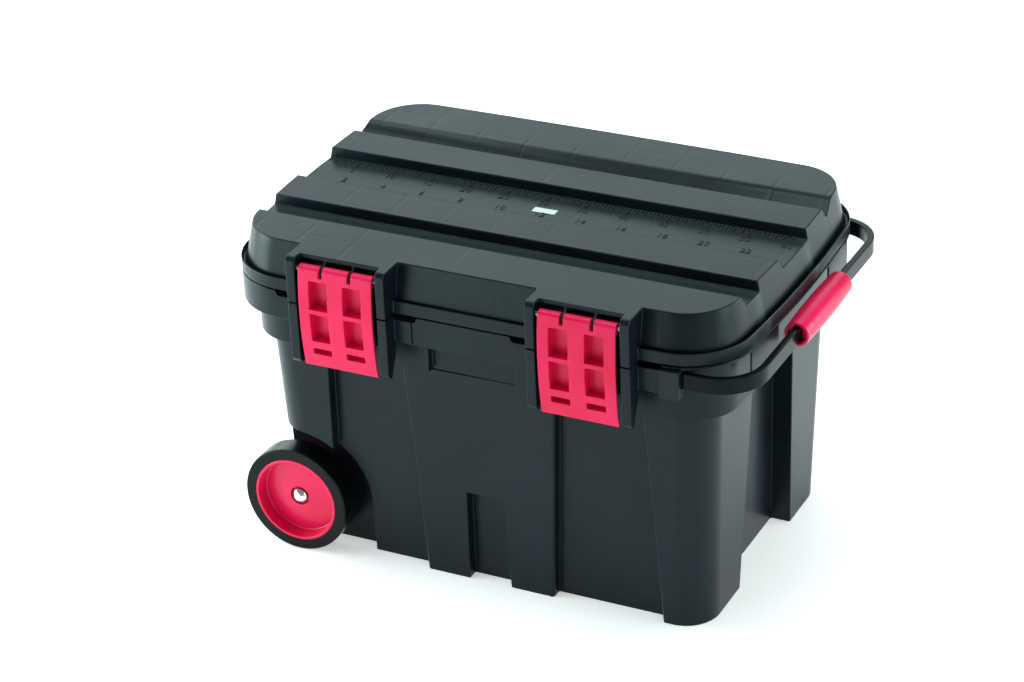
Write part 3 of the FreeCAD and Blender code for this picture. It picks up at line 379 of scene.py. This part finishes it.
def turnedPiece(name, profile, finish, cadNode, out):  # out is -1 for the front wheel, 1 for the back
    shape = bmesh.new()
    ring = [shape.verts.new((rad, out * far, 0)) for rad, far in profile]
    edges = [shape.edges.new((ring[i - 1], ring[i])) for i in range(len(ring))]
    bmesh.ops.spin(shape, geom=ring + edges, cent=(0, 0, 0), axis=(0, 1, 0), angle=math.tau,
                   steps=wheel["steps"], use_merge=True)
    bmesh.ops.remove_doubles(shape, verts=shape.verts, dist=wheel["join"])
    bmesh.ops.recalc_face_normals(shape, faces=shape.faces)
    bmesh.ops.translate(shape, vec=(wheel["axle"][0], 0, wheel["axle"][1]), verts=shape.verts)
    for face in shape.faces:
        face.smooth = True
    mesh = bpy.data.meshes.new(name + "Turned")
    shape.to_mesh(mesh)
    shape.free()
    mesh.materials.append(finish)
    carrier = bpy.data.objects.new(name + "Carrier", mesh)
    corner = carrier.modifiers.new("corner", "BEVEL")
    corner.width, corner.segments, corner.limit_method = wheel["round"], wheel["roundSegments"], "ANGLE"
    corner.angle_limit, corner.use_clamp_overlap = math.radians(wheel["sharp"]), True
    even = carrier.modifiers.new("even", "WEIGHTED_NORMAL")
    even.weight = rounding["flatWeight"]
    piece = baked(carrier, name)
    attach(piece, bodyOf[cadNode])
    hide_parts(cadNode)


for end, out in (("front", -1), ("back", 1)):
    turnedPiece(end + "Hub", hubProfile(), finishes["hubRed"], "wheel_hub_" + end, out)
    turnedPiece(end + "Tyre", tyreProfile(), finishes["tyre"], "tyre_" + end, out)
print("wheels turned")

# ---- raised scale on the lid: ticks every 5 mm, numbers every 5 cm and every 2 inches
numberRows = {"zero": -0.3104, "digitTall": 0.0098, "tallShare": 0.7, "relief": 0.00012, "slope": 0.0005,
              "inset": 0.8, "curveSteps": 3,
              "centimetre": {"row": 0.016, "each": 5, "unit": 0.01, "last": 60, "shift": 0.0},
              "inch": {"row": -0.0105, "each": 2, "unit": 0.0254, "last": 22, "shift": 0.003}}


def scaleTicks():  # each tick is a small ridge that starts at the foot of the step and runs forward
    r = Recipe("scaleTicks", lidScale)
    g = r.given
    index = r.node("GeometryNodeInputIndex") + g["Skip"]
    whole, five = (index % 2) < 0.5, (index % 10) < 0.5
    length = g["Short"] + (g["Long"] - g["Short"]) * whole + (g["Longest"] - g["Long"]) * five
    line = r.node("GeometryNodeMeshLine", {"mode": "OFFSET"}, {
        "Count": g["Count"], "Start Location": r.vector(g["First X"], g["Edge Y"], g["Floor Z"]),
        "Offset": r.vector(g["Step"], 0.0, 0.0)})
    run = r.node("GeometryNodeCurvePrimitiveLine", {"mode": "POINTS"},
                 {"Start": (0, 0, 0), "End": (0, -1, 0)})
    section = r.node("GeometryNodeCurvePrimitiveCircle", {"mode": "RADIUS"},
                     {"Resolution": 4, "Radius": 1.0})
    ridge = r.node("GeometryNodeCurveToMesh", None,
                   {"Curve": run, "Profile Curve": section, "Fill Caps": True})
    ticks = r.node("GeometryNodeInstanceOnPoints", None, {
        "Points": line, "Instance": ridge, "Scale": r.vector(g["Ridge"], length, g["Ridge"])})
    return r.mesh("scaleTicks", ticks, finishes["scale"])


def scaleNumbers():
    look, floor = numberRows, lidScale["Floor Z"]
    joined = bmesh.new()
    for unit in ("centimetre", "inch"):
        row = look[unit]
        for count in range(row["each"], row["last"] + 1, row["each"]):
            words = bpy.data.curves.new("digits", "FONT")
            words.body, words.size = str(count), look["digitTall"] / look["tallShare"]
            words.extrude, words.bevel_depth, words.bevel_resolution = look["relief"], look["slope"], 0
            words.offset, words.resolution_u = -look["slope"] * look["inset"], look["curveSteps"]
            words.align_x, words.align_y = "CENTER", "CENTER"
            holder = bpy.data.objects.new("digits", words)
            letters = bpy.data.meshes.new_from_object(holder)
            place = (look["zero"] + row["shift"] + count * row["unit"], row["row"], floor)
            letters.transform(Matrix.Translation(place))
            joined.from_mesh(letters)
            bpy.data.objects.remove(holder)
            bpy.data.meshes.remove(letters)
    mesh = bpy.data.meshes.new("scaleNumbers")
    joined.to_mesh(mesh)
    joined.free()
    mesh.materials.append(finishes["tub"])
    piece = bpy.data.objects.new("scaleNumbers", mesh)
    bpy.context.scene.collection.objects.link(piece)
    return piece


for piece in (scaleTicks(), scaleNumbers()):
    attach(piece, "lid")
print("scale raised on the lid")

# ---- blank pale plate in the middle groove
blankPlate = {"middle": (-0.001, -0.0004), "size": (0.0285, 0.0115), "thick": 0.0006, "turn": 1.5,
              "corner": 0.0002}


def makePlate():
    look = blankPlate
    mesh = bpy.data.meshes.new("plateBody")
    shape = bmesh.new()
    bmesh.ops.create_cube(shape, size=1.0)
    place = (Matrix.Translation((*look["middle"], lidScale["Floor Z"] + look["thick"] / 2))
             @ Matrix.Rotation(math.radians(look["turn"]), 4, "Z")
             @ Matrix.Diagonal((*look["size"], look["thick"], 1)))
    bmesh.ops.transform(shape, matrix=place, verts=shape.verts)
    shape.to_mesh(mesh)
    shape.free()
    mesh.materials.append(finishes["plate"])
    carrier = bpy.data.objects.new("plateCarrier", mesh)
    corner = carrier.modifiers.new("corner", "BEVEL")
    corner.width, corner.segments, corner.limit_method = look["corner"], 2, "ANGLE"
    piece = baked(carrier, "blankPlate")
    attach(piece, "lid")


makePlate()
print("plate laid")

# ---- floor, light and camera
floor = {"size": 14.0, "below": 0.0002, "low": (0.96, 0.96, 0.96), "high": (0.98, 0.98, 0.98),
         "cloud": 2.5, "patch": 3, "uneven": 0.05, "roughness": 0.9, "glow": 0.42}
bpy.ops.mesh.primitive_plane_add(size=floor["size"], location=(0, 0, cadLow.z - floor["below"]))
ground = bpy.context.object
ground.name = "ground"
paper = Finish("paper", Specular_IOR_Level=0.0, Emission_Color=(1.0, 1.0, 1.0),
               Emission_Strength=floor["glow"])
paper.set("Base Color", paper.mix(paper.noise(floor["cloud"]), floor["low"], floor["high"]))
paper.set("Roughness", paper.noise(floor["patch"]) * floor["uneven"] + floor["roughness"])
ground.data.materials.append(paper.material)

sky = {"colour": (1.0, 1.0, 1.0), "strength": 0.25}
world = bpy.data.worlds.new("studio")
bpy.context.scene.world = world
world.use_nodes = True
world.node_tree.nodes["Background"].inputs[0].default_value = (*sky["colour"], 1)
world.node_tree.nodes["Background"].inputs[1].default_value = sky["strength"]

lampColour = (0.8, 1.0, 0.99)
lampAim = (0, 0, 0.2)
lamps = {
    "backSoftbox": {"place": (-0.9, 3.4, 2.2), "size": (3.2, 2.0), "power": 38},
    "backLeftSoftbox": {"place": (-3.0, 2.4, 1.3), "size": (1.6, 1.8), "power": 34},
    "topSoftbox": {"place": (-0.2, 0.2, 3.2), "size": (2.2, 1.6), "power": 56},
    "topLeftSoftbox": {"place": (-2.4, 0.4, 2.6), "size": (1.6, 1.6), "power": 42},
    "leftSoftbox": {"place": (-3.2, -0.2, 0.9), "size": (1.6, 1.4), "power": 26},
    "leftLowSoftbox": {"place": (-1.8, -0.9, 0.5), "size": (0.9, 0.8), "power": 30},
    "frontLowSoftbox": {"place": (-1.2, -2.2, 0.5), "size": (1.2, 0.8), "power": 12},
    "frontRightSoftbox": {"place": (2.8, -1.8, 1.3), "size": (1.4, 1.4), "power": 12},
    "rightSoftbox": {"place": (3.2, 0.2, 0.9), "size": (1.4, 1.4), "power": 52},
    "rightBackSoftbox": {"place": (2.4, 1.8, 0.7), "size": (1.2, 1.2), "power": 36},
}
for name, lamp in lamps.items():
    light = bpy.data.lights.new(name, "AREA")
    light.shape, light.size, light.size_y, light.energy = "RECTANGLE", *lamp["size"], lamp["power"]
    light.color = lampColour
    holder = bpy.data.objects.new(name, light)
    bpy.context.scene.collection.objects.link(holder)
    holder.location = lamp["place"]
    holder.rotation_euler = (Vector(lampAim) - Vector(lamp["place"])).to_track_quat("-Z", "Y").to_euler()

view = {"azimuth": 27.151, "elevation": 28.123, "roll": -2.499, "lens": 110.11, "sensor": 36,
        "place": (1.43469, -2.89611, 1.95878), "far": 50}
camera = bpy.data.objects.new("viewCamera", bpy.data.cameras.new("viewCamera"))
bpy.context.scene.collection.objects.link(camera)
turn, rise, lean = (math.radians(view[k]) for k in ("azimuth", "elevation", "roll"))
back = Vector((math.sin(turn) * math.cos(rise), -math.cos(turn) * math.cos(rise), math.sin(rise)))
right = (-back).cross(Vector((0, 0, 1))).normalized()
up = right.cross(-back)
side = right * math.cos(lean) + up * math.sin(lean)
top = up * math.cos(lean) - right * math.sin(lean)
camera.matrix_world = Matrix.Translation(view["place"]) @ Matrix((side, top, back)).transposed().to_4x4()
camera.data.lens, camera.data.sensor_width = view["lens"], view["sensor"]
camera.data.sensor_fit = "HORIZONTAL"
camera.data.clip_end = view["far"]
bpy.context.scene.camera = camera
bpy.context.scene.view_settings.view_transform = "Standard"
